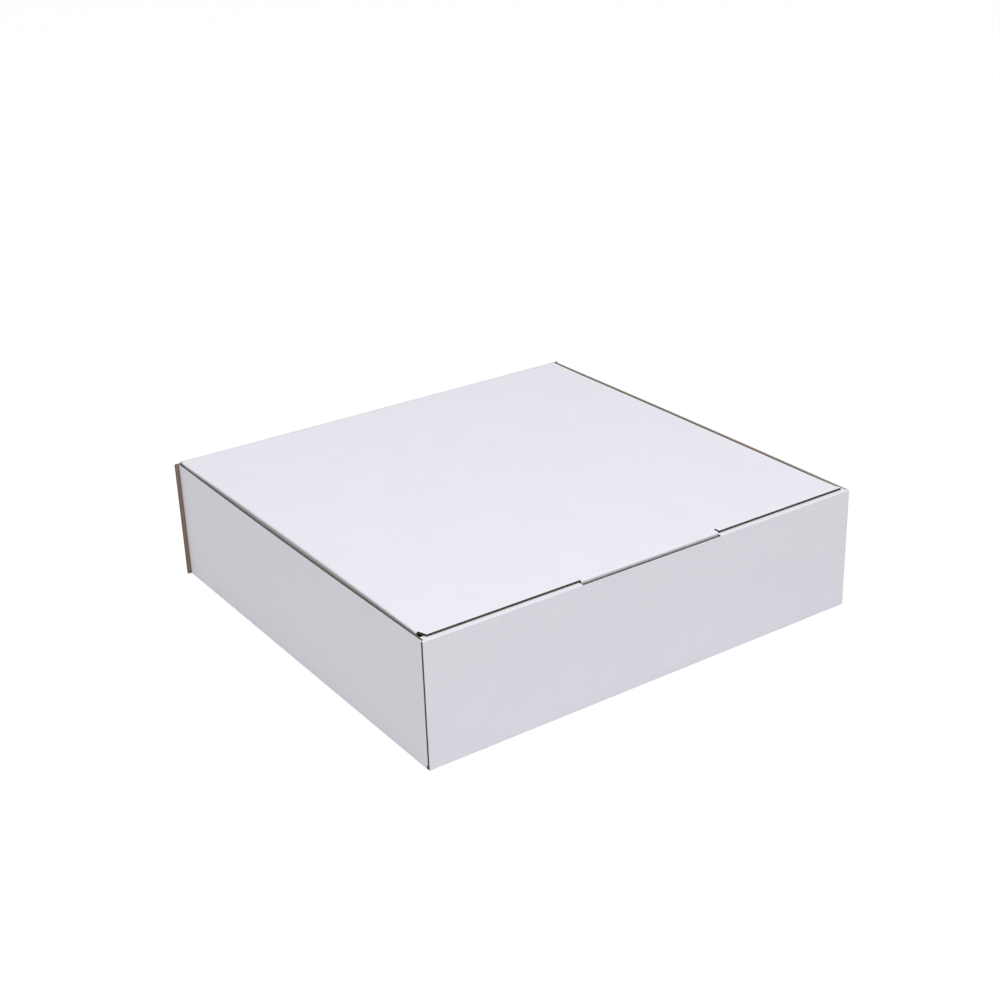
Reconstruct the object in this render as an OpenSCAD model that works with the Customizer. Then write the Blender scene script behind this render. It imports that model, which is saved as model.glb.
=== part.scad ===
// Die-cut mailing box folded from one sheet of thin fluted board, lid closed.
// The tray is the base with its four walls; the lid hangs on the back wall's top
// fold and locks with a tuck tab in the double front wall.
// Origin: centre of the base's underside. X is the width, the front faces -Y.

/* [Box] */
// Outer width over the side walls
box_w = 310; // [220:1:420]
// Outer depth from the front wall to the back wall
box_d = 300; // [200:1:420]
// Height of the front wall's folded top
front_h = 79.2; // [60:0.1:140]
// How far the side walls' raw tops stand above the front wall
side_rise = 0.5; // [0.2:0.1:1]
// How far the back wall reaches past each side wall
back_overhang = 2.3; // [0.5:0.1:4]

/* [Board] */
// Thickness of the fluted board
board = 1.5; // [1.2:0.1:2]
// Inner radius of a fold
fold_r = 0.2; // [0.1:0.1:0.6]
// Gap between two layers that lie against each other
layer_gap = 0.2; // [0.1:0.05:0.3]

/* [Front wall] */
// Width of each lock tab on the inner panel's lower edge
lock_w = 34; // [20:1:45]
// Distance of each lock tab's middle from the box's middle
lock_x = 92; // [60:1:100]
// How far a lock tab reaches into its slot in the base
lock_reach = 1.3; // [1:0.05:1.45]
// Clearance around a lock tab in its slot
lock_gap = 0.3; // [0.2:0.05:0.6]
// Height lost by the outer panel's raw edge at the tuck slot
slot_lip = 0.3; // [0.1:0.1:0.8]

/* [Corner flaps] */
// Length of the side walls' flaps inside the front wall
front_flap_l = 62; // [30:1:90]
// Length of the side walls' flaps inside the back wall
back_flap_l = 62; // [30:1:90]
// How much lower a corner flap is than the panel that covers it
flap_drop = 0.3; // [0.2:0.1:3]
// Height of a corner flap's lower edge above the base
flap_foot = 1.2; // [0.5:0.1:4]
// Width of the relief at the front wall's lower corners
corner_relief = 1; // [0.5:0.1:1.5]

/* [Lid] */
// Gap between the lid and the side walls
lid_gap = 0.3; // [0.2:0.05:0.8]
// Gap between the lid and the front wall's top
rest_gap = 0.2; // [0.1:0.05:0.4]
// Distance of the lid's raw front edge behind the front wall's face
lid_setback = 3.3; // [2:0.1:5]
// Height of the lid's bow in the middle of its depth
crown = 1.3; // [0.5:0.1:3]
// Trimmed width at each front corner
trim_w = 2.4; // [1:0.1:5]
// Trimmed depth at each front corner, up to the dust flap's fold
trim_d = 3.3; // [2.6:0.1:6]
// How far the rounded hinge fold swells past the board's thickness
hinge_swell = 0.05; // [0.05:0.01:0.1]
// Gap between the hinge fold and the back wall below it
hinge_gap = 0.3; // [0.2:0.05:0.5]

/* [Dust flaps] */
// Depth of the lid's dust flaps
dust_h = 32; // [20:1:45]
// Length over which the front end of a dust flap slants
dust_front = 7; // [4:0.5:20]
// Length over which the back end of a dust flap slants
dust_back = 10; // [4:0.5:20]
// Length of the fold's relief beside the hinge
hinge_relief = 5; // [4:0.5:10]
// Radius of a dust flap's lower corners
dust_r = 8; // [4:0.5:12]

/* [Tuck tab] */
// Width of the tuck tab
tuck_w = 100; // [60:1:110]
// Length of the tuck tab below the lid's top
tuck_l = 14; // [10:0.5:18]
// Radius of the tuck tab's corners
tuck_r = 5; // [2:0.5:8]
// Clearance in front of the tuck tab
tuck_front = 0.6; // [0.5:0.05:1]
// Clearance behind the tuck tab
tuck_back = 0.6; // [0.3:0.05:1]
// Clearance at each end of the tuck slot
slot_end = 0.8; // [0.4:0.1:2]
// Length of the relief cuts beside the tuck tab
relief_l = 4.5; // [2:0.5:8]
// Width of the relief cuts beside the tuck tab
relief_w = 0.6; // [0.4:0.1:1]

/* [Hidden] */

// How far a cutting shape reaches past what it cuts
over = 1;
// Facets of a fold's full circle
fold_fn = 48;
// Steps along the lid's bow
crown_steps = 24;
// Steps of a rounded corner in an outline
corner_steps = 8;

bend_r = fold_r + board;
front_y = -box_d / 2;
back_y = box_d / 2;
side_x = box_w / 2;
side_h = front_h + side_rise;

// The double front wall, from its face to the back of its inner panel
hollow = tuck_front + board + tuck_back;
front_t = 2 * board + hollow;
inner_y = front_y + front_t - board;
flap_h = front_h - board - flap_drop;
flap_z = board + flap_foot;
corner_y = board + layer_gap + bend_r;

// The lid's panel, from its raw front edge to the hinge
lid_w = box_w - 2 * (board + lid_gap);
lid_z = front_h + rest_gap;
lid_y = front_y + lid_setback;
hinge_r = board + hinge_swell;
hinge_y = back_y - hinge_r;
bow_c = hinge_y - lid_y;
bow_r = (bow_c * bow_c / 4 + crown * crown) / (2 * crown);
bow_a = 2 * asin((bow_c / 2 + over) / bow_r);
dust_y = lid_y + trim_d;
tuck_y = front_y + board + tuck_front;

// Points of an arc that rounds the corner at p between its neighbours a and b
function rounded(a, p, b, r) = let (
    u = (a - p) / norm(a - p),
    v = (b - p) / norm(b - p),
    half = acos(u * v) / 2,
    centre = p + (u + v) / norm(u + v) * r / sin(half),
    first = p + u * r / tan(half) - centre,
    last = p + v * r / tan(half) - centre,
    turn = 180 - 2 * half
  ) [for (i = [0 : corner_steps]) let (t = i / corner_steps)
      centre + (first * sin((1 - t) * turn) + last * sin(t * turn)) / sin(turn)];

// Extrudes a side-on outline, depth by height, to a width centred on the box
module across(width) {
  translate([-width / 2, 0, 0]) rotate([90, 0, 90]) linear_extrude(width) children();
}

// Quarter ring of a fold around the origin, in the quadrant that sx and sy name
module fold_2d(sx, sy) {
  intersection() {
    difference() {
      circle(r = bend_r, $fn = fold_fn);
      circle(r = fold_r, $fn = fold_fn);
    }
    translate([sx > 0 ? 0 : -bend_r, sy > 0 ? 0 : -bend_r]) square(bend_r);
  }
}

// Side-on outline of the front wall: up the face, over the top and down inside
module front_outline() {
  translate([front_y, 0]) {
    translate([bend_r, bend_r]) fold_2d(-1, -1);
    translate([0, bend_r]) square([board, front_h - 2 * bend_r]);
    translate([bend_r, front_h - bend_r]) fold_2d(-1, 1);
    translate([bend_r, front_h - board]) square([front_t - 2 * bend_r, board]);
    translate([front_t - bend_r, front_h - bend_r]) fold_2d(1, 1);
    translate([front_t - board, board + layer_gap])
      square([board, front_h - bend_r - board - layer_gap]);
  }
}

// Front wall with the tuck slot in its top and lock tabs below its inner panel
module front_wall() {
  slot_w = tuck_w + 2 * slot_end;
  inner_w = box_w - 2 * (board + lid_gap);
  end_w = (box_w - inner_w) / 2 + over;
  difference() {
    across(box_w) front_outline();
    for (s = [-1, 1]) {
      // The inner panel stands between the side walls
      translate([s * (inner_w / 2 + end_w / 2), front_y + front_t - bend_r + end_w / 2, front_h / 2])
        cube([end_w, end_w, front_h + over], center = true);
      translate([s * (inner_w / 2 + end_w / 2), inner_y + board / 2, front_h / 2])
        cube([end_w, board + over, front_h - 2 * bend_r], center = true);
      // The lower corners are relieved beside the side walls' folds
      translate([s * side_x, front_y + bend_r / 2, bend_r / 2])
        cube([2 * corner_relief, bend_r + over, bend_r], center = true);
    }
    translate([-slot_w / 2, front_y - over, front_h - bend_r])
      cube([slot_w, board + hollow + over, bend_r + over]);
  }
  // The outer panel's raw edge at the slot
  translate([-slot_w / 2, front_y, front_h - bend_r])
    cube([slot_w, board, bend_r - slot_lip]);
  for (s = [-1, 1])
    translate([s * lock_x - lock_w / 2, inner_y, board - lock_reach])
      cube([lock_w, board, lock_reach + layer_gap]);
}

// Base panel with the slots for the lock tabs
module base_panel() {
  difference() {
    translate([bend_r - side_x, front_y + bend_r, 0])
      cube([box_w - 2 * bend_r, box_d - 2 * bend_r, board]);
    for (s = [-1, 1])
      translate([s * lock_x - lock_w / 2 - lock_gap, inner_y - lock_gap, -over])
        cube([lock_w + 2 * lock_gap, board + 2 * lock_gap, board + 2 * over]);
  }
}

// Back wall up to the hinge fold, with an ear beside each end of the lid
module back_wall() {
  wall_w = box_w + 2 * back_overhang;
  ear_w = back_overhang + board;
  across(box_w - 2 * corner_relief)
    translate([back_y - bend_r, bend_r]) fold_2d(1, -1);
  across(wall_w)
    translate([back_y - board, bend_r])
      square([board, lid_z - hinge_r - hinge_gap - bend_r]);
  for (s = [-1, 1])
    translate([s * (wall_w - ear_w) / 2, back_y - board / 2, (bend_r + side_h) / 2])
      cube([ear_w, board, side_h - bend_r], center = true);
}

// Plan outline of the left side wall's corner folds and flaps
module corner_outline() {
  translate([bend_r - side_x, front_y + corner_y]) fold_2d(-1, -1);
  translate([bend_r - side_x, front_y + board + layer_gap])
    square([front_flap_l - bend_r, board]);
  translate([bend_r - side_x, back_y - corner_y]) fold_2d(-1, 1);
  translate([bend_r - side_x, back_y - board - layer_gap - board])
    square([back_flap_l - bend_r, board]);
}

// Left side wall with its bottom fold and its two corner flaps
module side_wall() {
  foot = corner_y - bend_r;
  step_y = front_t + layer_gap;
  translate([board - side_x, 0, 0]) rotate([90, 0, -90]) linear_extrude(board)
    mirror([1, 0]) polygon([
      [front_y + corner_y, bend_r],
      [back_y - corner_y, bend_r],
      [back_y - corner_y, side_h],
      [front_y + step_y + board, side_h],
      [front_y + step_y, flap_h],
      [front_y + corner_y, flap_h]
    ]);
  translate([0, back_y - corner_y, 0]) rotate([90, 0, 0])
    linear_extrude(box_d - 2 * corner_y)
      translate([bend_r - side_x, bend_r]) fold_2d(-1, -1);
  translate([0, 0, flap_z]) linear_extrude(flap_h - flap_z) corner_outline();
  // The back corner's fold is as tall as the wall outside the lid's reach
  translate([0, 0, flap_h]) linear_extrude(side_h - flap_h) intersection() {
    corner_outline();
    translate([-side_x, back_y - corner_y]) square([board, foot + bend_r]);
  }
}

module tray() {
  color([0.90, 0.90, 0.93]) {
    base_panel();
    front_wall();
    back_wall();
    side_wall();
    mirror([1, 0, 0]) side_wall();
  }
}

// Cross outline of the lid, height from the panel's underside by width:
// the panel with a rounded fold and a dust flap at each side
module lid_section() {
  translate([0, bend_r - lid_w / 2]) square([board, lid_w - 2 * bend_r]);
  for (s = [-1, 1]) mirror([0, s > 0 ? 0 : 1]) {
    translate([-fold_r, lid_w / 2 - bend_r]) fold_2d(1, 1);
    translate([-dust_h, lid_w / 2 - board]) square([dust_h - fold_r, board]);
  }
}

// Side-on outline that the lid is cut to: raw front edge, dust flap, hinge line
module lid_outline() {
  low = lid_z + board - dust_h;
  a = [dust_y, lid_z];
  b = [dust_y + dust_front, low];
  c = [hinge_y - hinge_relief - dust_back, low];
  d = [hinge_y - hinge_relief, lid_z];
  top = lid_z + board + crown + over;
  polygon(concat(
    [[lid_y, top], [lid_y, lid_z], a],
    rounded(a, b, c, dust_r),
    rounded(b, c, d, dust_r),
    [d, [hinge_y, lid_z], [hinge_y, top]]
  ));
}

// The lid's cross outline swept along the bow, around an axis far below the box
module bowed_lid() {
  translate([0, (lid_y + hinge_y) / 2, lid_z + crown - bow_r])
    rotate([0, -90, 0]) rotate([0, 0, -bow_a / 2])
      rotate_extrude(angle = bow_a, $fn = crown_steps * ceil(360 / bow_a))
        translate([bow_r, 0]) lid_section();
}

// Tuck tab: folded down from the lid's front, with rounded lower corners
module tuck_tab() {
  top = lid_z + board;
  across(tuck_w) translate([tuck_y + bend_r, top - bend_r]) fold_2d(-1, 1);
  across(tuck_w) translate([tuck_y, top - tuck_l + tuck_r])
    square([board, tuck_l - bend_r - tuck_r]);
  across(tuck_w - 2 * tuck_r) translate([tuck_y, top - tuck_l]) square([board, tuck_r]);
  for (s = [-1, 1])
    translate([s * (tuck_w / 2 - tuck_r), tuck_y, top - tuck_l + tuck_r])
      rotate([-90, 0, 0]) cylinder(r = tuck_r, h = board, $fn = fold_fn);
}

module lid() {
  color([0.93, 0.93, 0.95]) {
    difference() {
      intersection() {
        bowed_lid();
        across(lid_w + 2 * over) lid_outline();
      }
      for (s = [-1, 1]) {
        // Trimmed front corners
        translate([0, 0, lid_z - over]) linear_extrude(board + crown + 2 * over) polygon([
          [s * (lid_w / 2 - trim_w), lid_y - over],
          [s * (lid_w / 2 - trim_w), lid_y],
          [s * lid_w / 2, dust_y],
          [s * (lid_w / 2 + over), dust_y],
          [s * (lid_w / 2 + over), lid_y - over]
        ]);
        // Relief cuts beside the tuck tab
        translate([s * (tuck_w + relief_w) / 2, lid_y, lid_z])
          cube([relief_w, 2 * relief_l, 2 * (board + over)], center = true);
      }
      // The panel ends where the tuck tab's fold begins
      translate([-tuck_w / 2, lid_y - over, lid_z - over])
        cube([tuck_w, tuck_y + bend_r - lid_y + over, board + 2 * over]);
    }
    tuck_tab();
    translate([-lid_w / 2, hinge_y, lid_z]) rotate([0, 90, 0])
      cylinder(r = hinge_r, h = lid_w, $fn = fold_fn);
  }
}

tray();
lid();
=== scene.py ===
import math
from collections import namedtuple

import bmesh
import bpy
import numpy as np
from mathutils import Matrix, Vector


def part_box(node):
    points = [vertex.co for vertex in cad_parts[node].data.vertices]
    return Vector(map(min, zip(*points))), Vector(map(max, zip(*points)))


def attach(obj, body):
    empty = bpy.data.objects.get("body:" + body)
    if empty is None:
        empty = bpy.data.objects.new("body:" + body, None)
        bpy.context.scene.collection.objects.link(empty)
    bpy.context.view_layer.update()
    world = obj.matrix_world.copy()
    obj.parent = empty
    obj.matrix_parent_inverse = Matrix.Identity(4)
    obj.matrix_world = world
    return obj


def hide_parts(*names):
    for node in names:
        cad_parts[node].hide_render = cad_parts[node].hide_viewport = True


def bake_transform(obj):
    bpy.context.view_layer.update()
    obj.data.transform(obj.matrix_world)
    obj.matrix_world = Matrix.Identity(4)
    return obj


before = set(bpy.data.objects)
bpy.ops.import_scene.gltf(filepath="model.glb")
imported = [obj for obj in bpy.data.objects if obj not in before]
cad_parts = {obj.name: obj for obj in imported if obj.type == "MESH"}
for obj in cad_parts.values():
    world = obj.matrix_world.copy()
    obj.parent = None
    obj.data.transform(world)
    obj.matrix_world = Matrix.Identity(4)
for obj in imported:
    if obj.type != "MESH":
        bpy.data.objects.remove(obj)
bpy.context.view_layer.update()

# The coated liner: the smooth white paper that faces the whole outside of the box.
# It is clay-coated and close to matt, with a faint cloudiness and a fine tooth.
MM = 0.001


class Link:
    """A socket in a node tree, which ordinary arithmetic adds Math nodes to. One that
    has no socket of its own only makes nodes."""

    def __init__(self, tree, value):
        self.tree, self.value = tree, value

    def node(self, kind, settings=(), **values):
        made = self.tree.nodes.new(kind)
        for name, setting in dict(settings).items():
            setattr(made, name, setting)
        for name, value in values.items():
            place = int(name[1:]) if name[1:].isdigit() else name.replace("_", " ")
            feed(self.tree, made.inputs[place], value)
        return made

    def math(self, operation, *values):
        numbered = {f"n{i}": value for i, value in enumerate(values)}
        made = self.node("ShaderNodeMath", {"operation": operation}, **numbered)
        return Link(self.tree, made.outputs[0])

    def __add__(self, other):
        return self.math("ADD", self, other)

    __radd__ = __add__

    def __sub__(self, other):
        return self.math("SUBTRACT", self, other)

    def __rsub__(self, other):
        return self.math("SUBTRACT", other, self)

    def __mul__(self, other):
        return self.math("MULTIPLY", self, other)

    __rmul__ = __mul__

    def __truediv__(self, other):
        return self.math("DIVIDE", self, other)

    def __rtruediv__(self, other):
        return self.math("DIVIDE", other, self)

    def clamped(self, low, high):
        made = self.node("ShaderNodeClamp", n0=self, n1=low, n2=high)
        return Link(self.tree, made.outputs[0])

    def mixed(self, low, high):
        """The colour between low and high that this 0 to 1 value picks."""
        made = self.node("ShaderNodeMix", {"data_type": "RGBA"}, n0=self)
        feed(self.tree, made.inputs[6], low)
        feed(self.tree, made.inputs[7], high)
        return Link(self.tree, made.outputs[2])


def feed(tree, socket, value):
    """Links or sets one input."""
    if isinstance(value, Link):
        value = value.value
    if isinstance(value, bpy.types.NodeSocket):
        tree.links.new(value, socket)
    elif isinstance(value, (tuple, list)) and len(value) == 3 and socket.type == "RGBA":
        socket.default_value = (*value, 1)
    else:
        socket.default_value = value


def paper(name, roughness, specular):
    """A new material with its shader and the object's own coordinates."""
    material = bpy.data.materials.new(name)
    material.use_nodes = True
    tree = material.node_tree
    shader = tree.nodes["Principled BSDF"]
    shader.inputs["Roughness"].default_value = roughness
    shader.inputs["Specular IOR Level"].default_value = specular
    here = Link(tree, None).node("ShaderNodeTexCoord").outputs["Object"]
    return material, shader, Link(tree, here)


def cloud(here, scale, detail, stretch=(1, 1, 1)):
    """Soft noise from 0 to 1, with scale in features per metre."""
    turned = here.node("ShaderNodeMapping", Vector=here, Scale=stretch)
    made = here.node("ShaderNodeTexNoise", Vector=turned.outputs[0], Scale=scale, Detail=detail)
    return Link(here.tree, made.outputs["Fac"])


def rough_up(shader, height, depth, strength):
    """Bumps the surface by a 0 to 1 height over a depth in metres."""
    bump = height.node("ShaderNodeBump", Strength=strength, Distance=depth, Height=height)
    feed(height.tree, shader.inputs["Normal"], bump.outputs[0])


def coated_paper():
    material, shader, here = paper("coated_white", 0.5, 0.3)
    mottle = (cloud(here, 38, 3) * 0.7 + cloud(here, 260, 2) * 0.3).clamped(0, 1)
    tooth = cloud(here, 2600, 3)
    whites = mottle.mixed((0.785, 0.787, 0.850), (0.835, 0.837, 0.900))
    feed(here.tree, shader.inputs["Base Color"], whites)
    feed(here.tree, shader.inputs["Roughness"], mottle * 0.12 + 0.46)
    rough_up(shader, tooth * 0.6 + cloud(here, 420, 2) * 0.4, 0.03 * MM, 0.25)
    return material


coated_white = coated_paper()

# The kraft papers: the brown liner that faces the inside, the flutes between the liners, and the cut
# edges of the liners. They show long fibres and small specks.
# Two are copies painted with light and shade: a paler kraft, painted light, for the side walls'
# raw tops, and a near-black one, painted shade, for the crevices at the front wall's raw edges.
speck_brown = (0.13, 0.075, 0.04)


def kraft_paper(name, pale, dark, fibre_lean=(1, 1, 1), speck_colour=speck_brown):
    material, shader, here = paper(name, 0.85, 0.15)
    fibres = cloud(here, 900, 4, fibre_lean)
    blotches = cloud(here, 45, 3)
    colour = (fibres * 0.6 + blotches * 0.4).clamped(0, 1).mixed(dark, pale)
    specks = ((cloud(here, 1500, 1) - 0.66) * 9).clamped(0, 0.5)
    feed(here.tree, shader.inputs["Base Color"], specks.mixed(colour, speck_colour))
    feed(here.tree, shader.inputs["Roughness"], fibres * 0.2 + 0.72)
    rough_up(shader, fibres, 0.06 * MM, 0.4)
    return material


kraft_liner = kraft_paper("kraft_liner", (0.30, 0.218, 0.168), (0.22, 0.155, 0.118), (1, 0.22, 1))
# A paler copy of the kraft: painted light for the side walls' raw tops, which face up to the lamp.
painted_light_kraft = kraft_paper("painted_light_kraft", (0.58, 0.50, 0.44), (0.46, 0.39, 0.335))
# A near-black copy of the kraft: painted shade for the crevices at the front wall's raw edges.
painted_shade_cut = kraft_paper("painted_shade_cut", (0.10, 0.09, 0.085), (0.06, 0.055, 0.052))
flute_brown = kraft_paper("flute_brown", (0.20, 0.165, 0.14), (0.13, 0.105, 0.09), (1, 1, 0.4))
cut_kraft = kraft_paper("cut_kraft", (0.27, 0.215, 0.18), (0.18, 0.14, 0.115))
white_speck = (0.5, 0.45, 0.42)
cut_white = kraft_paper("cut_white", (0.80, 0.765, 0.74), (0.70, 0.66, 0.63), speck_colour=white_speck)

# The tray's two liners: one die-cut sheet folded up from the base into the front
# wall that rolls over on itself, the back wall and the two side walls, whose
# corner flaps turn in behind the front and back walls.
board = 1.5 * MM
liner = 0.25 * MM
bend_r = 0.5 * MM
layer_gap = 0.2 * MM
back_overhang = 2.3 * MM
side_rise = 0.5 * MM
wall_bulge = {-1: 1.0 * MM, 1: 0.8 * MM}
wall_drop = {-1: 0.0, 1: 0.7 * MM}
tray_low, tray_high = (Vector(corner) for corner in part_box("tray"))
side_x = tray_high.x - back_overhang
front_y, back_y = tray_low.y, tray_high.y
side_h = tray_high.z
front_h = side_h - side_rise
corner_y = board + layer_gap + bend_r
quarter = bend_r * math.pi / 2
Panel = namedtuple("Panel", "points faces runs place flutes_along edge radius")

# A liner has three materials for each kind of edge: the face, the cut edge and the underside.
# A panel's edge is the place of its first one in the liner's list. The second kind has its cut
# edges painted near black, as shade in the front wall's crevices. The third has a paler brown
# cut, painted light on the side walls' raw tops, which face up.
plain_edge, painted_shade_edge, painted_light_edge = 0, 3, 6
white_papers, kraft_papers = [], []
for white_cut, brown_cut in ((cut_white, cut_kraft), (painted_shade_cut, painted_shade_cut), (cut_white, painted_light_kraft)):
    white_papers += [coated_white, white_cut, flute_brown]
    kraft_papers += [kraft_liner, brown_cut, flute_brown]


def folded(runs, s, w, radius=bend_r):
    """Where a strip goes, outwards and upwards, when it is folded in between its flat
    runs: s is the way along its outer face and w the depth into the board. Inside a
    fold, what is deeper than the radius meets in a sharp corner."""
    s, w = np.broadcast_arrays(np.asarray(s, float), np.asarray(w, float))
    out, up = np.zeros(s.shape), np.zeros(s.shape)
    begin, turn, at = 0.0, 0.0, np.zeros(2)
    lost = np.maximum(w - radius, 0)
    for i, run in enumerate(runs):
        ahead = np.array((math.cos(turn), math.sin(turn)))
        outward = np.array((math.sin(turn), -math.cos(turn)))
        flat = (s >= begin) | (i == 0)
        along = s - begin
        if i > 0:
            along = np.maximum(along, lost)
        if i < len(runs) - 1:
            along = np.minimum(along, run - lost)
        out[flat] = (at[0] + ahead[0] * along - outward[0] * w)[flat]
        up[flat] = (at[1] + ahead[1] * along - outward[1] * w)[flat]
        begin += run
        at = at + ahead * run
        if i == len(runs) - 1:
            break
        centre = at - outward * radius
        bent = (s > begin) & (w < radius)
        angle = turn + (s - begin) / radius
        out[bent] = (centre[0] + np.sin(angle) * (radius - w))[bent]
        up[bent] = (centre[1] - np.cos(angle) * (radius - w))[bent]
        begin += radius * math.pi / 2
        turn += math.pi / 2
        at = centre + np.array((math.sin(turn), -math.cos(turn))) * radius
    return out, up


def fold_lines(runs, steps=8, radius=bend_r):
    """Lines across a strip that its folds need, with one close beside each fold."""
    lines, begin = [], 0.0
    for run in runs[:-1]:
        begin += run
        lines += [begin - board] + [begin + radius * math.pi / 2 * i / steps for i in range(steps + 1)]
        begin += radius * math.pi / 2
        lines.append(begin + board)
    return lines


def die_cut(
    outline, s_lines, t_lines, windows, runs, place, along="s", edge=plain_edge, radius=bend_r
):
    """A panel cut from the flat sheet, with lines scored across it and windows cut out."""
    flat = bmesh.new()
    flat.faces.new([flat.verts.new((s, t, 0)) for s, t in outline])
    windows = [[min(w[0:2]), max(w[0:2]), min(w[2:4]), max(w[2:4])] for w in windows]
    s_lines = list(s_lines) + [line for w in windows for line in w[0:2]]
    t_lines = list(t_lines) + [line for w in windows for line in w[2:4]]
    for axis, lines in enumerate((s_lines, t_lines)):
        direction = [0, 0, 0]
        direction[axis] = 1
        for line in sorted(set(lines)):
            spot = [line * d for d in direction]
            everything = flat.verts[:] + flat.edges[:] + flat.faces[:]
            bmesh.ops.bisect_plane(
                flat, geom=everything, plane_co=spot, plane_no=direction, dist=0.01 * MM
            )
    cut_out = []
    for face in flat.faces:
        middle = face.calc_center_median()
        if any(w[0] < middle.x < w[1] and w[2] < middle.y < w[3] for w in windows):
            cut_out.append(face)
    bmesh.ops.delete(flat, geom=cut_out, context="FACES")
    flat.verts.index_update()
    points = np.array([vert.co[:2] for vert in flat.verts])
    faces = [[vert.index for vert in face.verts] for face in flat.faces]
    flat.free()
    return Panel(points, faces, runs, place, along, edge, radius)


def rectangle(s0, s1, t0, t1):
    return [(s0, t0), (s1, t0), (s1, t1), (s0, t1)]


def put(panel, s, t, w):
    """Points of the folded sheet, from places on the flat one."""
    out, up = folded(panel.runs, s, w, panel.radius)
    return np.stack(np.broadcast_arrays(*panel.place(out, up, np.asarray(t, float))), axis=-1)


def make_liner(name, panels, inner, materials):
    """One liner over all the panels, as a closed skin with its own thickness."""
    depth = board if inner else 0.0
    skin = bmesh.new()
    for panel in panels:
        s, t = panel.points.T
        spots = put(panel, s, t, depth)
        verts = [skin.verts.new(spot) for spot in spots]
        for face in panel.faces:
            middle = panel.points[face].mean(axis=0)
            into = put(panel, *middle, board) - put(panel, *middle, 0.0)
            made = skin.faces.new([verts[i] for i in face])
            made.normal_update()
            if (made.normal.dot(Vector(into)) > 0) != inner:
                made.normal_flip()
            made.material_index = panel.edge
            made.smooth = True
    bmesh.ops.remove_doubles(skin, verts=skin.verts, dist=0.02 * MM)
    mesh = bpy.data.meshes.new(name)
    skin.to_mesh(mesh)
    skin.free()
    piece = bpy.data.objects.new(name, mesh)
    bpy.context.scene.collection.objects.link(piece)
    for material in materials:
        mesh.materials.append(material)
    thick = piece.modifiers.new("paper", "SOLIDIFY")
    thick.thickness = liner
    thick.offset = -1
    thick.use_even_offset = True
    thick.material_offset = 2
    thick.material_offset_rim = 1
    piece.modifiers.new("flat_panels", "WEIGHTED_NORMAL")
    return piece


def lines_between(low, high, count):
    return [low + (high - low) * i / count for i in range(count + 1)]


# The base: the sheet's middle panel, flat on the table. Two slots cut near its front
# edge take the lock tabs of the rolled-over front wall.
base_x, base_y = side_x - bend_r, back_y - bend_r
lock_w, lock_x, lock_gap = 34 * MM, 92 * MM, 0.3 * MM
tuck_front, tuck_back = 0.6 * MM, 0.6 * MM
hollow = tuck_front + board + tuck_back
front_t = 2 * board + hollow
inner_y = front_y + front_t - board
lock_edges = [side * lock_x + end * (lock_w / 2) for side in (-1, 1) for end in (-1, 1)]
slot_edges = [side * lock_x + end * (lock_w / 2 + lock_gap) for side in (-1, 1) for end in (-1, 1)]
x_lines = lock_edges + slot_edges + lines_between(-base_x, base_x, 6)
y_lines = lines_between(front_y + corner_y, back_y - corner_y, 24)
slot_front, slot_back = inner_y - lock_gap, inner_y + board + lock_gap
lock_slots = [(slot_edges[i], slot_edges[i + 1], slot_front, slot_back) for i in (0, 2)]


def flat_base(out, up, t):
    return out, t, up


base_blank = rectangle(-base_x, base_x, -base_y, base_y)
base = die_cut(base_blank, x_lines, y_lines, lock_slots, (0,), flat_base, "t")

# The front wall: three panels in a row that roll up, over and down again into a
# double wall. The narrow top one has the tuck slot, and the last one ends in the lock
# tabs, which hold the wall up without glue.
tuck_w, slot_end, slot_lip = 100 * MM, 0.35 * MM, 0.3 * MM
slot_x = tuck_w / 2 + slot_end
corner_relief, lid_gap, lock_reach = 1.0 * MM, 0.3 * MM, 1.3 * MM
front_x, strip_nose = side_x - 0.25 * MM, 1.0 * MM
inner_x = side_x - board - lid_gap
face_run, top_run = front_h - 2 * bend_r, front_t - 2 * bend_r
inner_run = front_h - bend_r - board - layer_gap
front_runs = (0, face_run, top_run, inner_run + layer_gap + lock_reach)
top_s = quarter + face_run
strip_s = top_s + quarter
down_s = strip_s + top_run
inner_s = down_s + quarter + inner_run
front_end = inner_s + layer_gap + lock_reach


def front_place(out, up, t):
    return t, front_y + bend_r - out, up


front_windows = [
    (top_s, down_s, -slot_x, slot_x),
    (inner_s, front_end, -side_x, lock_edges[0]),
    (inner_s, front_end, lock_edges[1], lock_edges[2]),
    (inner_s, front_end, lock_edges[3], side_x),
]
for side in (-1, 1):
    front_windows.append((0, quarter, side * (side_x - corner_relief), side * side_x))
    front_windows.append((strip_s + strip_nose, front_end, side * inner_x, side * side_x))
# The front wall's raw edges are painted near black, as shade for the narrow crevices they sit in.
front = die_cut(
    rectangle(0, front_end, -front_x, front_x),
    fold_lines(front_runs),
    x_lines,
    front_windows,
    front_runs,
    front_place,
    edge=painted_shade_edge,
)
# The lip's raw edges are painted near black too, as shade in the tuck slot.
lip_runs = (0, face_run + bend_r - slot_lip)
lip_s = quarter + lip_runs[1]
lip_blank = rectangle(top_s, lip_s, -slot_x, slot_x)
lip = die_cut(lip_blank, (), x_lines, (), lip_runs, front_place, edge=painted_shade_edge)

# The back wall: one panel folded up, whose raw ends stand a little past the side
# walls, with an ear beside each end of the lid.
hinge_r, hinge_gap, rest_gap = 1.55 * MM, 0.3 * MM, 0.2 * MM
lid_z = front_h + rest_gap
hinge_y = back_y - hinge_r
hinge_foot = lid_z - hinge_r - hinge_gap
wall_x = side_x + back_overhang
ear_x = side_x - board
back_runs = (0, side_h - bend_r)
back_end = quarter + side_h - bend_r
back_top_s = quarter + hinge_foot - bend_r


def back_place(out, up, t):
    return t, back_y - bend_r + out, up


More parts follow.
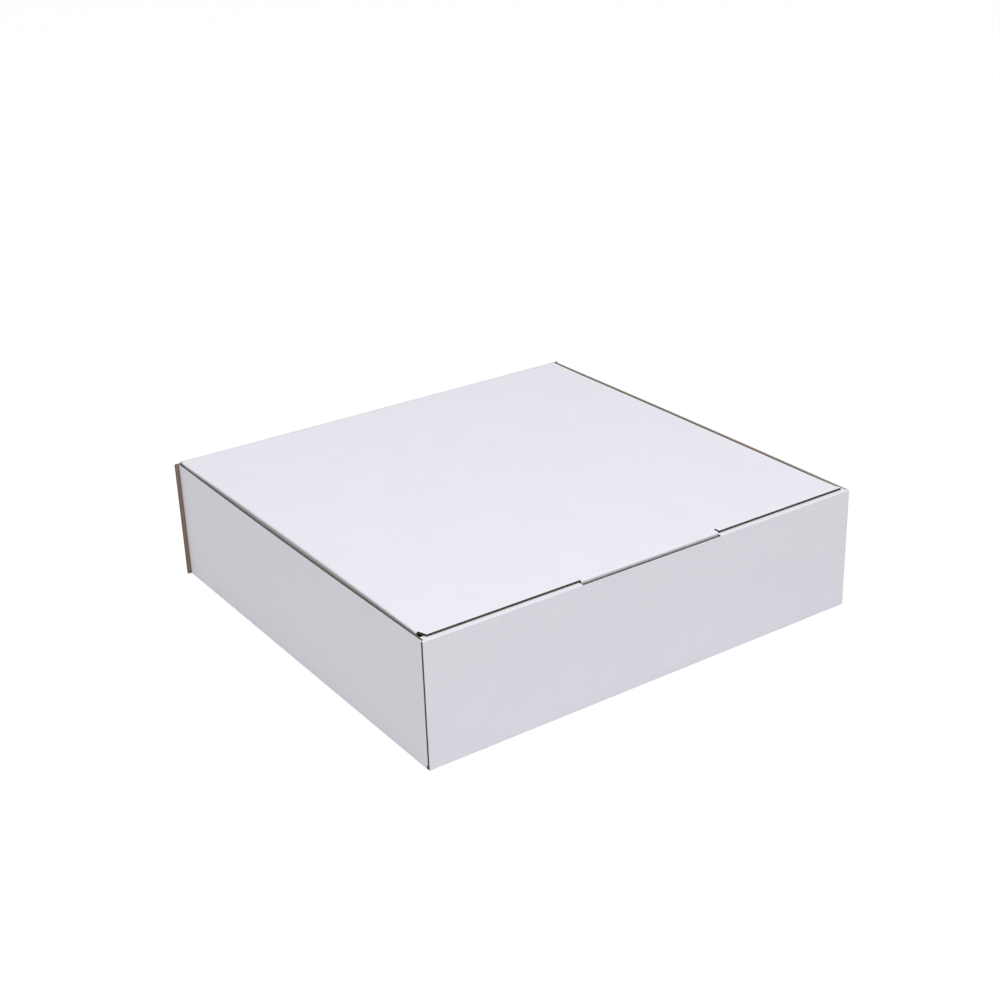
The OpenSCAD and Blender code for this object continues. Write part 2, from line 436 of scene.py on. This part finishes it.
back_windows = [
    (back_top_s, back_end, -ear_x, ear_x),
    (back_end - wall_drop[1], back_end, ear_x, side_x),
    (back_top_s, back_end, side_x, wall_x),
]
for side in (-1, 1):
    back_windows.append((0, quarter, side * (side_x - corner_relief), side * wall_x))
back_blank = rectangle(0, back_end, -wall_x, wall_x)
back = die_cut(back_blank, fold_lines(back_runs), x_lines, back_windows, back_runs, back_place)
foot_low, foot_in = 0.1 * MM, side_x - corner_relief


def foot_place(out, up, t):
    return t, back_y - up, out


def ear_foot(side):
    """The raw end of the back wall below its fold, which reaches down to the floor."""
    edge = sorted((side * foot_in, side * wall_x))
    return die_cut(rectangle(foot_low, bend_r, *edge), (), x_lines, (), (0,), foot_place)


feet = [ear_foot(side) for side in (-1, 1)]

# The side walls: single panels folded up, each with a corner flap at both ends that
# turns in behind the front and back walls. A wall's raw top bulges out in the middle.
flap_l = 62 * MM
flap_drop, flap_foot = 0.3 * MM, 1.2 * MM
full_height_share = 7 / 8
flap_h, flap_z = front_h - board - flap_drop, board + flap_foot
wall_runs = (0, side_h - bend_r)
wall_end = quarter + side_h - bend_r
z_lines = lines_between(flap_z, flap_h, 5)
flap_runs = (0, flap_l - bend_r)
flap_end = quarter + flap_l - bend_r
tray_panels = [base, front, lip, back] + feet
side_walls, corner_flaps = {}, {}
for side in (-1, 1):

    def wall_place(out, up, t, side=side):
        lift = np.clip(up / side_h, 0, 1) ** 2
        swell = wall_bulge[side] * lift * np.cos(np.pi * np.clip(t / (back_y - corner_y), -1, 1) / 2)
        return side * (side_x - bend_r + out + swell), t, up

    outline = [
        (0, front_y + corner_y),
        (0, back_y - corner_y),
        (wall_end - wall_drop[side], back_y - corner_y),
        (wall_end - wall_drop[side], front_y + corner_y),
    ]
    heights = fold_lines(wall_runs) + [quarter + z - bend_r for z in z_lines]
    # The walls' raw tops get a paler brown cut edge, painted light for the light that falls on them
    # from above.
    side_walls[side] = die_cut(
        outline, heights, y_lines, (), wall_runs, wall_place, "t", painted_light_edge
    )
    for end in (-1, 1):

        def flap_place(out, up, t, side=side, end=end):
            return side * (side_x - up), end * (back_y - corner_y + out), t

        top = side_h - wall_drop[side]
        windows = [(quarter * full_height_share, flap_end, flap_h, top)]
        flap_blank = rectangle(0, flap_end, flap_z, top)
        corner_flaps[side, end] = die_cut(
            flap_blank, fold_lines(flap_runs), z_lines, windows, flap_runs, flap_place
        )
    tray_panels.append(side_walls[side])
    tray_panels += [corner_flaps[side, end] for end in (-1, 1)]

tray_outer = make_liner("tray_outer_liner", tray_panels, False, white_papers)
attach(tray_outer, "tray")
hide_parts("tray")
tray_inner = make_liner("tray_inner_liner", tray_panels, True, kraft_papers)
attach(tray_inner, "tray")

# The lid's two liners: the bowed panel, the dust flaps folded down inside the side
# walls, and the tuck tab folded down into the front wall's slot. Its front edge and
# the trimmed corners beside it are raw.
lid_play = 2.4 * MM
lid_half = {-1: inner_x, 1: inner_x - lid_play}
lid_r, tab_play = 1.2 * MM, 0.4 * MM
lid_quarter = lid_r * math.pi / 2
lid_top = lid_z + board
lid_setback, trim_w, trim_d = 3.3 * MM, 2.4 * MM, 5.2 * MM
trim_more = 0.8 * MM
crown, crown_right = 1.3 * MM, 0.4 * MM
droop, droop_w = 0.6 * MM, 40 * MM
lid_y = front_y + lid_setback
dust_y = lid_y + trim_d
tuck_y = front_y + board + tab_play
relief_l, relief_w = 3.0 * MM, {-1: 0.1 * MM, 1: 1.7 * MM}
hinge_relief, fold_relief = 5 * MM, 0.2 * MM
dust_h, dust_front, dust_back, dust_r = 32 * MM, 7 * MM, 10 * MM, 8 * MM
tuck_l, tuck_r = 14 * MM, 5 * MM


def bow(x, y):
    """Height of the lid's bow, which dies away towards its right side."""
    middle, half = (lid_y + hinge_y) / 2, (hinge_y - lid_y) / 2
    share = np.clip(x / lid_half[1] * 0.5 + 0.5, 0, 1) ** 2
    rise = crown + (crown_right - crown) * share
    along = np.clip((y - middle) / half, -1, 1)
    sag = droop * np.clip((x - lid_half[1] + droop_w) / droop_w, 0, 1) ** 2
    return rise * (1 - along**2) - sag * (1 - along**12)


def rounded(before, corner, after, radius, steps=8):
    """Points of the arc that rounds a corner of an outline."""
    before, corner, after = (np.array(p, float) for p in (before, corner, after))
    u = (before - corner) / np.linalg.norm(before - corner)
    v = (after - corner) / np.linalg.norm(after - corner)
    half = math.acos(float(u @ v)) / 2
    centre = corner + (u + v) / np.linalg.norm(u + v) * radius / math.sin(half)
    first = corner + u * radius / math.tan(half) - centre
    last = corner + v * radius / math.tan(half) - centre
    turn = math.pi - 2 * half
    arc = []
    for i in range(steps + 1):
        share = i / steps
        spoke = first * math.sin((1 - share) * turn) + last * math.sin(share * turn)
        arc.append(tuple(centre + spoke / math.sin(turn)))
    return arc


def lid_place(out, up, t):
    return out, t, lid_top - up + bow(out, t)


lid_front_half = {-1: lid_half[-1] - trim_w - trim_more, 1: lid_half[-1] - trim_w}


def panel_side(side):
    """The lid panel's outline along one side, from the front to the back."""
    fold_x = lid_half[side] - lid_r
    points = [
        (tuck_w / 2, tuck_y + lid_r),
        (tuck_w / 2, lid_y + relief_l),
        (tuck_w / 2 + relief_w[side], lid_y + relief_l),
        (tuck_w / 2 + relief_w[side], lid_y),
        (lid_front_half[side], lid_y),
        (fold_x, dust_y),
        (fold_x, hinge_y),
    ]
    return [(side * x, y) for x, y in points]


lid_x_lines = lines_between(lid_r - lid_half[-1], lid_half[1] - lid_r, 8)
lid_y_lines = lines_between(dust_y, hinge_y - hinge_relief, 32) + [hinge_y - fold_relief]
lid_blank = panel_side(1) + panel_side(-1)[::-1]
lid_panel = die_cut(lid_blank, lid_x_lines, lid_y_lines, (), (0,), lid_place, "t")
lid_panels = [lid_panel]
dust_flaps = {}
dust_runs = (0, dust_h - lid_r)
dust_end = lid_quarter + dust_h - lid_r
for side in (-1, 1):

    def dust_place(out, up, t, side=side):
        return side * (lid_half[side] - lid_r + out), t, lid_top - up + bow(side * lid_half[side], t)

    flap_front, flap_back = dust_y, hinge_y - hinge_relief
    front_low, back_low = (dust_end, flap_front + dust_front), (dust_end, flap_back - dust_back)
    front_high, back_high = (lid_quarter, flap_front), (lid_quarter, flap_back)
    outline = [(0, flap_front), front_high]
    outline += rounded(front_high, front_low, back_low, dust_r)
    outline += rounded(front_low, back_low, back_high, dust_r)
    outline += [back_high, (lid_quarter, hinge_y - fold_relief), (0, hinge_y - fold_relief)]
    bends = fold_lines(dust_runs, 8, lid_r)
    dust_flaps[side] = die_cut(
        outline, bends, lid_y_lines, (), dust_runs, dust_place, "t", plain_edge, lid_r
    )
    lid_panels.append(dust_flaps[side])


def tuck_place(out, up, t):
    start = tuck_y + lid_r
    return t, start - out, lid_top - up + bow(t, start)


tuck_runs = (0, tuck_l - lid_r)
tuck_end = lid_quarter + tuck_l - lid_r
outline = [(0, -tuck_w / 2)]
outline += rounded((0, -tuck_w / 2), (tuck_end, -tuck_w / 2), (tuck_end, tuck_w / 2), tuck_r)
outline += rounded((tuck_end, -tuck_w / 2), (tuck_end, tuck_w / 2), (0, tuck_w / 2), tuck_r)
outline += [(0, tuck_w / 2)]
bends = fold_lines(tuck_runs, 8, lid_r)
tuck_tab = die_cut(outline, bends, lid_x_lines, (), tuck_runs, tuck_place, radius=lid_r)
lid_panels.append(tuck_tab)

lid_outer = make_liner("lid_outer_liner", lid_panels, False, white_papers[:3])
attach(lid_outer, "lid")
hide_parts("lid")
lid_inner = make_liner("lid_inner_liner", lid_panels, True, kraft_papers[:3])
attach(lid_inner, "lid")

# The hinge fold: the board that turns from the back wall into the lid, scored and creased like the
# others.
fold_runs = (lid_z - hinge_foot, 0)
fold_thin = 0.1 * MM


def make_hinge_fold():
    skin = bmesh.new()
    ways = fold_lines(fold_runs, 12, hinge_r)[1:-1]
    rows = [0.0, fold_runs[0] / 2] + ways
    xs = lines_between(-inner_x, inner_x, 8)
    grid = []
    for s in rows:
        out, up = folded(fold_runs, s, 0.0, hinge_r)
        grid.append([skin.verts.new((x, back_y - float(up), hinge_foot + float(out))) for x in xs])
    for low, high in zip(grid, grid[1:]):
        for i in range(len(xs) - 1):
            face = skin.faces.new((low[i + 1], low[i], high[i], high[i + 1]))
            face.smooth = True
    mesh = bpy.data.meshes.new("hinge_fold")
    skin.to_mesh(mesh)
    skin.free()
    piece = bpy.data.objects.new("hinge_fold", mesh)
    bpy.context.scene.collection.objects.link(piece)
    for material in (coated_white, kraft_liner):
        mesh.materials.append(material)
    thick = piece.modifiers.new("paper", "SOLIDIFY")
    thick.thickness = board - fold_thin
    thick.offset = -1
    thick.material_offset = 1
    thick.material_offset_rim = 1
    bpy.context.view_layer.update()
    evaluated = piece.evaluated_get(bpy.context.evaluated_depsgraph_get())
    piece.data = bpy.data.meshes.new_from_object(evaluated)
    piece.modifiers.clear()
    return piece


hinge_fold = make_hinge_fold()
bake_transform(hinge_fold)

# The flutes: the wavy paper glued between the liners. It shows at every raw edge, as
# open ends where the cut runs across the flutes and as one long channel beside them.
flute_pitch = 3.05 * MM
flute_paper = 0.14 * MM
flute_steps = 10
flute_depth = 4.5 * MM
cut_in = 0.05 * MM


def flute_tree():
    """Geometry Nodes: a wavy sheet from the origin, Run along the flutes, Span across."""
    tree = bpy.data.node_groups.new("flutes", "GeometryNodeTree")
    tree.interface.new_socket("Geometry", in_out="OUTPUT", socket_type="NodeSocketGeometry")
    for name in ("Run", "Span", "Pitch", "Height", "Phase"):
        tree.interface.new_socket(name, in_out="INPUT", socket_type="NodeSocketFloat")
    for name in ("Run Points", "Span Points"):
        tree.interface.new_socket(name, in_out="INPUT", socket_type="NodeSocketInt")
    tree.interface.new_socket("Paper", in_out="INPUT", socket_type="NodeSocketMaterial")
    begin = Link(tree, None)
    given = begin.node("NodeGroupInput").outputs
    run, span, pitch = (Link(tree, given[name]) for name in ("Run", "Span", "Pitch"))
    points = {"Vertices_X": given["Run Points"], "Vertices_Y": given["Span Points"]}
    grid = begin.node("GeometryNodeMeshGrid", Size_X=run, Size_Y=span, **points)
    position = begin.node("GeometryNodeInputPosition").outputs[0]
    parts = begin.node("ShaderNodeSeparateXYZ", n0=position)
    across = Link(tree, parts.outputs["Y"]) + span * 0.5
    turns = across / pitch + given["Phase"]
    wave = begin.math("SINE", turns * math.tau)
    height = wave * (Link(tree, given["Height"]) * 0.5)
    shift = begin.node("ShaderNodeCombineXYZ", X=run * 0.5, Y=span * 0.5, Z=height)
    moved = begin.node(
        "GeometryNodeSetPosition", Geometry=grid.outputs["Mesh"], Offset=shift.outputs[0]
    )
    real = begin.node("GeometryNodeRealizeInstances", n0=moved.outputs[0])
    painted = begin.node(
        "GeometryNodeSetMaterial", Geometry=real.outputs[0], Material=given["Paper"]
    )
    begin.node("NodeGroupOutput", n0=painted.outputs[0])
    return tree


flute_nodes = flute_tree()
flute_sockets = {}
for item in flute_nodes.interface.items_tree:
    if item.in_out == "INPUT":
        flute_sockets[item.name] = item.identifier


def flute_sheet(panel, s0, s1, t0, t1, phase=0.0, run_points=3):
    """Folded flutes in one rectangle of a panel: (points, faces)."""
    along_s = panel.flutes_along == "s"
    run, span = (s1 - s0, t1 - t0) if along_s else (t1 - t0, s1 - s0)
    holder = bpy.data.objects.new("flute_holder", bpy.data.meshes.new("flute_holder"))
    bpy.context.scene.collection.objects.link(holder)
    made = holder.modifiers.new("flutes", "NODES")
    made.node_group = flute_nodes
    sizes = {
        "Run": run,
        "Span": span,
        "Pitch": flute_pitch,
        "Height": board - 2 * liner - flute_paper,
        "Phase": phase,
        "Run Points": run_points,
        "Span Points": max(4, round(span / flute_pitch * flute_steps)) + 1,
        "Paper": flute_brown,
    }
    for name, value in sizes.items():
        made[flute_sockets[name]] = value
    bpy.context.view_layer.update()
    evaluated = holder.evaluated_get(bpy.context.evaluated_depsgraph_get())
    baked = bpy.data.meshes.new_from_object(evaluated)
    spots = np.zeros(len(baked.vertices) * 3)
    baked.vertices.foreach_get("co", spots)
    run_at, span_at, height = spots.reshape(-1, 3).T
    faces = [list(polygon.vertices) for polygon in baked.polygons]
    bpy.data.objects.remove(holder)
    s, t = (s0 + run_at, t0 + span_at) if along_s else (s0 + span_at, t0 + run_at)
    return put(panel, s, t, board / 2 + height), faces


def make_flutes(name, sheets, body, paper_kind):
    """One piece of all the flutes that show on a body."""
    points, faces, count = [], [], 0
    for spots, polygons in sheets:
        points += [tuple(spot) for spot in spots]
        faces += [[i + count for i in polygon] for polygon in polygons]
        count = len(points)
    mesh = bpy.data.meshes.new(name)
    mesh.from_pydata(points, [], faces)
    mesh.materials.append(paper_kind)
    mesh.polygons.foreach_set("use_smooth", [True] * len(mesh.polygons))
    piece = bpy.data.objects.new(name, mesh)
    bpy.context.scene.collection.objects.link(piece)
    thick = piece.modifiers.new("paper", "SOLIDIFY")
    thick.thickness = flute_paper
    thick.offset = 0
    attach(piece, body)
    return piece


# Where in its wave a flute is at a cut that runs along it, from 0 to 1
wall_phase, flap_phase, end_phases = 0.27, 0.2, {-1: 0.75, 1: 0.25}

# How many points a flute has along it: two where it is straight, more where it bows
straight, strip_points, wall_points, dust_points = 2, 18, 25, 33
wall_flutes = []
tray_flutes = [flute_sheet(lip, lip_s - flute_depth, lip_s, -slot_x, slot_x)]
wall_along = (front_y + corner_y, back_y - corner_y)
for side in (-1, 1):
    wall, wall_top = side_walls[side], wall_end - wall_drop[side] - cut_in
    wall_flutes.append(
        flute_sheet(wall, wall_top - flute_depth, wall_top, *wall_along, wall_phase, wall_points)
    )
    end_phase = end_phases[side]
    low, high = sorted((side * (front_x - flute_depth), side * (front_x - cut_in)))
    tray_flutes.append(flute_sheet(front, quarter, top_s, low, high, end_phase, straight))
    low, high = sorted((side * (inner_x - flute_depth), side * (inner_x - cut_in)))
    tray_flutes.append(flute_sheet(front, top_s, down_s, low, high, end_phase, strip_points))
    low, high = sorted((side * ear_x, side * (wall_x - cut_in)))
    ear_end = back_end if side == -1 else back_top_s
    tray_flutes.append(flute_sheet(back, quarter, ear_end, low, high, end_phase, straight))
    edge = sorted((side * lock_x - lock_w / 2, side * lock_x + lock_w / 2))
    tray_flutes.append(flute_sheet(front, front_end - flute_depth, front_end, *edge))
    for end in (-1, 1):
        flap = corner_flaps[side, end]
        tray_flutes.append(flute_sheet(flap, flap_end - flute_depth, flap_end, flap_z, flap_h))
        flap_top = (flap_h - flute_depth, flap_h)
        tray_flutes.append(flute_sheet(flap, quarter, flap_end, *flap_top, flap_phase, straight))
make_flutes("tray_flutes", tray_flutes, "tray", flute_brown)
# The flutes in the walls' raw tops are the paler kraft, painted light for the light that falls on them
# from above.
make_flutes("wall_top_flutes", wall_flutes, "tray", painted_light_kraft)


def lid_edge_place(out, up, t):
    """The lid behind its raw front edge, where the flutes run from front to back."""
    return t, out, lid_top - up + bow(t, out)


lid_edge = Panel(None, None, (0,), lid_edge_place, "s", plain_edge, bend_r)
tuck_along = (tuck_r - tuck_w / 2, tuck_w / 2 - tuck_r)
dust_along = (flap_front + 2 * dust_r, flap_back - 2.5 * dust_r)
lid_flutes = [flute_sheet(tuck_tab, tuck_end - flute_depth, tuck_end, *tuck_along)]
for side in (-1, 1):
    edge = sorted((side * (tuck_w / 2 + relief_w[side]), side * lid_front_half[side]))
    lid_flutes.append(flute_sheet(lid_edge, lid_y, lid_y + flute_depth, *edge))
    dust_top = dust_end - flute_depth
    lid_flutes.append(
        flute_sheet(dust_flaps[side], dust_top, dust_end, *dust_along, flap_phase, dust_points)
    )
make_flutes("lid_flutes", lid_flutes, "lid", flute_brown)

# Floor, light and camera: a white floor and backdrop, one large soft lamp above the
# front, and the photograph's camera.
def white_to_camera(name, share):
    """White where it is looked at, with a share of its own light and shade kept."""
    material = bpy.data.materials.new(name)
    material.use_nodes = True
    tree = material.node_tree
    shader = tree.nodes["Principled BSDF"]
    shader.inputs["Base Color"].default_value = (0.8, 0.8, 0.8, 1)
    shader.inputs["Roughness"].default_value = 0.9
    shader.inputs["Specular IOR Level"].default_value = 0
    begin = Link(tree, None)
    rays = begin.node("ShaderNodeLightPath").outputs
    looked_at = Link(tree, rays["Is Camera Ray"]) + rays["Is Glossy Ray"]
    looked_at = (looked_at + rays["Is Transmission Ray"]).clamped(0, 1) * share
    glow = begin.node("ShaderNodeEmission", Strength=1.06)
    kinds = {"n1": shader.outputs[0], "n2": glow.outputs[0]}
    mixed = begin.node("ShaderNodeMixShader", n0=looked_at, **kinds)
    feed(tree, tree.nodes["Material Output"].inputs[0], mixed.outputs[0])
    return material


floor_reach = 6.0
floor_mesh = bpy.data.meshes.new("floor")
floor_corners = rectangle(-floor_reach, floor_reach, -floor_reach, floor_reach)
floor_mesh.from_pydata([(x, y, 0) for x, y in floor_corners], [], [(0, 1, 2, 3)])
floor_mesh.materials.append(white_to_camera("floor_white", 0.9))
floor = bpy.data.objects.new("floor", floor_mesh)
bpy.context.scene.collection.objects.link(floor)

sky = bpy.data.worlds.new("studio")
sky.use_nodes = True
bpy.context.scene.world = sky
sky_tree = sky.node_tree
air = Link(sky_tree, None)
fill = sky_tree.nodes["Background"]
fill.inputs["Color"].default_value = (1, 1, 1, 1)
fill.inputs["Strength"].default_value = 0.45
backdrop = air.node("ShaderNodeBackground", Color=(1, 1, 1), Strength=1)
sky_rays = air.node("ShaderNodeLightPath").outputs
skies = {"n1": fill.outputs[0], "n2": backdrop.outputs[0]}
sky_mix = air.node("ShaderNodeMixShader", n0=sky_rays["Is Camera Ray"], **skies)
feed(sky_tree, sky_tree.nodes["World Output"].inputs[0], sky_mix.outputs[0])

lamp = bpy.data.lights.new("softbox", "AREA")
lamp.size = 1.6
lamp.energy = 28
softbox = bpy.data.objects.new("softbox", lamp)
bpy.context.scene.collection.objects.link(softbox)
softbox.location = (-0.26, -0.62, 1.9)
softbox.rotation_euler = (Vector((0, 0, 0)) - softbox.location).to_track_quat("-Z", "Y").to_euler()

turn, tilt, roll = math.radians(-33.95), math.radians(24.35), math.radians(-1.90)
camera_data = bpy.data.cameras.new("camera")
camera_data.sensor_width = 36
camera_data.lens = 59.14
camera = bpy.data.objects.new("camera", camera_data)
bpy.context.scene.collection.objects.link(camera)
behind = Vector((math.sin(turn) * math.cos(tilt), -math.cos(turn) * math.cos(tilt), math.sin(tilt)))
level = (-behind).cross(Vector((0, 0, 1))).normalized()
upright = level.cross(-behind)
across_x = level * math.cos(roll) + upright * math.sin(roll)
up_y = upright * math.cos(roll) - level * math.sin(roll)
camera_place = Vector((-535.15, -791.2, 495.3)) * MM
turned = Matrix((across_x, up_y, behind)).transposed().to_4x4()
camera.matrix_world = Matrix.Translation(camera_place) @ turned
bpy.context.scene.camera = camera
bpy.context.scene.view_settings.view_transform = "Standard"
